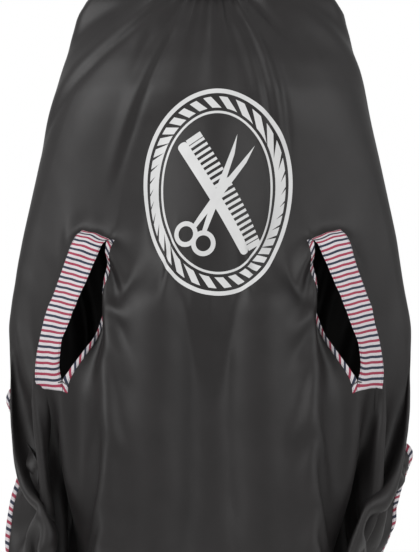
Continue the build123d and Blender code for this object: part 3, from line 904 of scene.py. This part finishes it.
def badge_stripes():
    """The slanted stripes between the rings."""
    stripes = []
    t = np.linspace(0, 1, 6)[:, None, None]
    w = np.linspace(-.0055, .0055, 5)[:, None]
    for k in range(BADGE_STRIPES):
        at = math.radians(360 * k / BADGE_STRIPES)
        lean = at + BADGE_LEAN
        way = -np.array([math.cos(lean), math.sin(lean)])
        across = np.array([-math.sin(lean), math.cos(lean)])
        start = BADGE[1] * np.array([math.cos(at), math.sin(at)]) + w * across
        near, far = (crossing(start, way, BADGE_LINES[i])[None, :, None] for i in (2, 3))
        places = start + way * (near + (far - near) * t)
        stripes.append((places[..., 0], places[..., 1]))
    return stripes


def comb():
    """A comb along x: a rounded spine, square teeth and a broad tooth at each end."""
    half, turn, spine, broad, tooth = .107, .007, .018, .01, .028
    x = np.concatenate([np.linspace(-half, turn - half, 8)[:-1], np.linspace(turn - half, half - turn, 44),
                        np.linspace(half - turn, half, 8)[1:]])
    past = np.maximum(np.abs(x) - (half - turn), 0)
    tall = spine / 2 - turn + np.sqrt(np.maximum(turn**2 - past**2, 0))
    parts = [(x[:, None] + np.zeros(5), spine / 2 + tall[:, None] * np.linspace(-1, 1, 5))]
    pitch = (2 * half - 2 * broad) / COMB_TEETH
    teeth = [(.006 - half, broad), (half - .006, broad)]
    teeth += [((i + .5) * pitch + broad - half, pitch / 2) for i in range(COMB_TEETH)]
    for centre, width in teeth:
        x = centre + width * np.array([-.5, 0, .5])[None, :]
        parts.append((x + np.zeros((8, 1)), np.linspace(0.0, -tooth, 8)[:, None] + np.zeros(3)))
    return parts


def scissor_half(sign):
    """A blade with its shank and finger ring, crossing at the origin."""
    x = np.linspace(-.066, .112, 48)
    low = np.interp(x, [-.066, 0, .0784, .112], [-.0035, -.0075, -.006, 0])
    high = np.interp(x, [-.066, 0, .112], [.0035, .0045, 0])
    t = np.linspace(0, 1, 4)
    blade = (x[:, None] + np.zeros(4), low[:, None] + (high - low)[:, None] * t)
    a = np.linspace(0, 2 * math.pi, 49)[:, None]
    r = np.linspace(.021, .013, 4)[None, :]
    ring = (-.079 + r * np.cos(a), -sign * .005 + r * np.sin(a))
    return [turned(*part, 9 * sign) for part in (blade, ring)]


def chest_print(sheet):
    """The badge: a striped oval rim round a comb crossed with scissors."""
    layers = [(badge_rings() + badge_stripes(), .00045)]
    layers.append(([turned(*part, 122, .002, -.004) for part in comb()], .0005))
    for sign, lift in ((1, .00055), (-1, .0006)):
        layers.append(([turned(*part, 62, -.004, -.008) for part in scissor_half(sign)], lift))
    parts = []
    for patches, lift in layers:
        for x, z in patches:
            x, z = np.broadcast_arrays(x, z)
            u, v = PRINT_CENTRE[0] + x, PRINT_CENTRE[1] - z
            parts.append((sheet.at(u, v, lift), grid_faces(*x.shape), np.stack([u, v], -1)))
    return new_mesh("print_badge", gather(parts), "ink", "chest_print")


# ---------------- neckband and closure


def on_band(angle, up, radius):
    """Places on the neckband: degrees from the front, height along the neck, and radius."""
    a, up, radius = np.broadcast_arrays(np.radians(angle), up, radius)
    return tilted(radius * np.sin(a), -radius * np.cos(a), up)


def band_line(angle, up, radius):
    """A line on the neckband with its normals."""
    return on_band(angle, up, radius), on_band(angle, 0, 1.0)


def tab_outside(angle):
    """The outside radius of the closure tab, which rises from its root over the studs."""
    low, high, span = TAB_RISE
    return low + (high - low) * smooth((angle - TAB_ANGLES[0]) / span)


def tab_line():
    """Angles and heights along the closure tab's stitching, set in from its edges."""
    start, end = TAB_ANGLES
    inset = .0028
    turn = np.linspace(0, math.pi / 2, 9)
    degrees = math.degrees(1 / TAB_RISE[1])
    corner = end - TAB_TIP * degrees
    bend = (TAB_TIP - inset) * np.sin(turn)
    rise = TAB_HALF - TAB_TIP + (TAB_TIP - inset) * np.cos(turn)
    angle = np.concatenate([[start + inset * degrees], corner + bend * degrees])
    up = np.concatenate([[TAB_HALF - inset], rise])
    angle, up = np.concatenate([angle, angle[::-1]]), np.concatenate([up, -up[::-1]])
    fine = np.linspace(0, len(angle) - 1, 300)
    return (np.interp(fine, np.arange(len(q)), q) for q in (angle, up))


def neck_stitching():
    """Rows of stitches on the neckband and on the closure tab."""
    angle = np.linspace(*BAND_STITCHED, 400)
    for name, up in (("low", -STITCH_UP), ("high", STITCH_UP)):
        stitches(f"stitches_band_{name}", band_line(angle, up, BAND_R + .0001), pitch=.0032)
    angle, up = tab_line()
    line = band_line(angle, up, tab_outside(angle) + .0001)
    stitches("stitches_tab", line, body="closure_tab", pitch=.003)


# ---------------- materials


def surface(name, rough, sheen=0.0, metal=0.0, specular=.5):
    """A new material; returns it, a function that adds a node, and its links."""
    made = bpy.data.materials.new(name)
    made.use_nodes = True
    tree = made.node_tree
    shader = tree.nodes["Principled BSDF"]
    shader.inputs["Roughness"].default_value = rough
    shader.inputs["Metallic"].default_value = metal
    shader.inputs["Sheen Weight"].default_value = sheen
    shader.inputs["Sheen Roughness"].default_value = .45
    shader.inputs["Specular IOR Level"].default_value = specular

    def add(kind, **values):
        node = tree.nodes.new("ShaderNode" + kind)
        for key, value in values.items():
            if hasattr(node, key):
                setattr(node, key, value)
            else:
                node.inputs[key.replace("_", " ")].default_value = value
        return node

    return made, shader, add, tree.links.new


def math_node(add, link, operation, a, b):
    """The result of a Math node on two values, each a number or a socket."""
    node = add("Math", operation=operation)
    for socket, value in zip(node.inputs, (a, b)):
        if isinstance(value, (int, float)):
            socket.default_value = value
        else:
            link(value, socket)
    return node.outputs[0]


def ramp(add, link, factor, stops, steps=False):
    """Colours along a factor: stops are (position, colour)."""
    node = add("ValToRGB")
    node.color_ramp.interpolation = "CONSTANT" if steps else "LINEAR"
    elements = node.color_ramp.elements
    while len(elements) < len(stops):
        elements.new(.5)
    for element, (position, colour) in zip(elements, stops):
        element.position = position
        element.color = (*colour, 1)
    link(factor, node.inputs[0])
    return node.outputs["Color"]


def weave_bump(shader, add, link, where, pitch, depth, ripples=0.0):
    """Crossing threads at a pitch, and a slight unevenness, as bump."""
    waves = []
    for axis in ("X", "Y"):
        wave = add("TexWave", bands_direction=axis, Scale=2 * math.pi / (20 * pitch), Distortion=.6)
        wave.inputs["Detail Scale"].default_value = .2
        link(where, wave.inputs["Vector"])
        waves.append(wave.outputs["Fac"])
    height = math_node(add, link, "MAXIMUM", *waves)
    if ripples:
        noise = add("TexNoise", Scale=260.0, Detail=3.0)
        link(where, noise.inputs["Vector"])
        uneven = math_node(add, link, "MULTIPLY", noise.outputs["Fac"], ripples)
        height = math_node(add, link, "ADD", height, uneven)
    bump = add("Bump", Strength=.55, Distance=depth)
    link(height, bump.inputs["Height"])
    link(bump.outputs["Normal"], shader.inputs["Normal"])


def fabric(name, dark, light, rough, sheen, where="UV", pitch=.0006, depth=.00012, specular=.4):
    """Plain woven cloth whose colour wanders between two shades."""
    made, shader, add, link = surface(name, rough, sheen, specular=specular)
    place = add("TexCoord").outputs[where]
    noise = add("TexNoise", Scale=14.0, Detail=8.0, Roughness=.62)
    link(place, noise.inputs["Vector"])
    link(ramp(add, link, noise.outputs["Fac"], [(.3, dark), (.7, light)]), shader.inputs["Base Color"])
    weave_bump(shader, add, link, place, pitch, depth, ripples=1.2)
    return made


def striped(name, along, across, rough=.62):
    """Striped cotton, with so many repeats of white, red, white and navy a metre each way."""
    made, shader, add, link = surface(name, rough, .08, specular=.3)
    place = add("TexCoord").outputs["UV"]
    parts = add("SeparateXYZ")
    link(place, parts.inputs[0])
    u = math_node(add, link, "MULTIPLY", parts.outputs["X"], across)
    v = math_node(add, link, "MULTIPLY", parts.outputs["Y"], along)
    noise = add("TexNoise", Scale=900.0, Detail=2.0)
    link(place, noise.inputs["Vector"])
    fray = math_node(add, link, "MULTIPLY", noise.outputs["Fac"], .05)
    turn = math_node(add, link, "ADD", math_node(add, link, "ADD", u, v), fray)
    share = math_node(add, link, "FRACT", turn, 0.0)
    colour = ramp(add, link, share, [(0.0, WHITE), (.26, RED), (.5, WHITE), (.76, NAVY)], steps=True)
    link(colour, shader.inputs["Base Color"])
    weave_bump(shader, add, link, place, .0005, .00012, ripples=.8)
    return made


def snap_metal():
    """Pressed nickel-plated brass with fine scratches."""
    made, shader, add, link = surface("snap_metal", .28, metal=1.0)
    place = add("TexCoord").outputs["Object"]
    noise = add("TexNoise", Scale=420.0, Detail=4.0)
    link(place, noise.inputs["Vector"])
    link(ramp(add, link, noise.outputs["Fac"], [(.3, (.5, .49, .47)), (.7, (.66, .65, .62))]),
         shader.inputs["Base Color"])
    bump = add("Bump", Strength=.15, Distance=.00005)
    link(noise.outputs["Fac"], bump.inputs["Height"])
    link(bump.outputs["Normal"], shader.inputs["Normal"])
    return made


# Base colours, darker than the real ones, as tuned to the photo at this light.
WHITE, RED, NAVY = (.52, .49, .51), (.27, .03, .06), (.016, .021, .042)
MATERIALS = {
    "cloth": fabric("cape_cloth", (.01, .0089, .009), (.0142, .0127, .0129), .45, .02, specular=.3),
    "band": fabric("band_cloth", (.013, .0122, .0124), (.018, .0168, .017), .5, .04, "Object", .0007),
    "felt": fabric("interlining", (.62, .62, .6), (.74, .73, .7), .85, .2, "Object", .0009),
    "thread": fabric("thread", (.03, .029, .029), (.05, .048, .048), .5, .15, "Object", .0003),
    "ink": fabric("print_ink", (.5, .5, .5), (.57, .57, .57), .48, 0.0, "UV", .0006, .00004),
    "facing": striped("facing_stripe", 1 / STRIPE_PITCH, 0.0),
    "binding": striped("binding_stripe", 1 / BIAS_PITCH, 1 / BIAS_PITCH),
    "metal": snap_metal(),
}

# How the names of the CAD nodes that stay visible start, and their materials: the first match.
CAD_LOOKS = (
    ("neckband_interlining", "felt"), ("neckband", "band"), ("closure_tab", "band"), ("snap", "metal"),
)


# ---------------- assembly


def dress_cad():
    """Gives the CAD pieces that stay visible their materials."""
    for name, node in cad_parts.items():
        for start, look in CAD_LOOKS:
            if name.startswith(start):
                node.data.materials.clear()
                node.data.materials.append(MATERIALS[look])
                break


def light(name, size, place, power):
    """A square lamp aimed at the middle of the cape."""
    lamp = bpy.data.lights.new(name, "AREA")
    lamp.size = size
    lamp.energy = power
    holder = bpy.data.objects.new(name, lamp)
    holder.location = place
    aim = Vector((0, 0, -.5)) - Vector(place)
    holder.rotation_euler = aim.to_track_quat("-Z", "Y").to_euler()
    bpy.context.scene.collection.objects.link(holder)


def surroundings():
    """White to the camera, but weaker as light, so that the dark cloth stays dark."""
    world = bpy.data.worlds.new("studio")
    world.use_nodes = True
    backdrop = world.node_tree.nodes["Background"]
    backdrop.inputs["Color"].default_value = (1, 1, 1, 1)
    seen = world.node_tree.nodes.new("ShaderNodeLightPath").outputs["Is Camera Ray"]
    level = world.node_tree.nodes.new("ShaderNodeMapRange")
    level.inputs["To Min"].default_value = WORLD_LIGHT
    world.node_tree.links.new(seen, level.inputs["Value"])
    world.node_tree.links.new(level.outputs["Result"], backdrop.inputs["Strength"])
    bpy.context.scene.world = world


def pale_floor():
    """A round floor a little below the cape, which hangs free."""
    bpy.ops.mesh.primitive_circle_add(
        vertices=128, radius=FLOOR_R, fill_type="NGON", location=(0, 0, FLOOR_Z)
    )
    floor = bpy.context.object
    floor.name = "floor"
    paint, shader, _, _ = surface("floor_paint", .7)
    shader.inputs["Base Color"].default_value = (.8, .8, .79, 1)
    floor.data.materials.append(paint)


def photo_camera():
    """The camera, square to the front; the whole view at the cape is VIEW_HEIGHT tall."""
    camera = bpy.data.cameras.new("camera")
    camera.sensor_fit = "VERTICAL"
    camera.sensor_height = 24
    camera.lens = camera.sensor_height * VIEW_DISTANCE / VIEW_HEIGHT
    eye = bpy.data.objects.new("camera", camera)
    eye.location = (0, -VIEW_DISTANCE, VIEW_LEVEL)
    eye.rotation_euler = (math.pi / 2, 0, 0)
    bpy.context.scene.collection.objects.link(eye)
    bpy.context.scene.camera = eye
    bpy.context.scene.view_settings.view_transform = "Standard"


def studio():
    """White surroundings, two soft lamps, a pale round floor and the camera."""
    surroundings()
    light("key", .9, (-2.5, -2.0, .9), 80)
    light("fill", 1.4, (2.2, -1.8, .3), 38)
    pale_floor()
    photo_camera()


dress_cad()
sheet = drape()
shape = (sheet.x, sheet.grid.quads(), sheet.grid.spread(sheet.grid.flat))
cape = new_mesh("cape_sheet", shape, "cloth")
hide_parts(*[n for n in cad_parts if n.startswith("cape_")])
trims = arm_slits(sheet) + bindings(sheet) + [chest_print(sheet)]
neck_stitching()
studio()
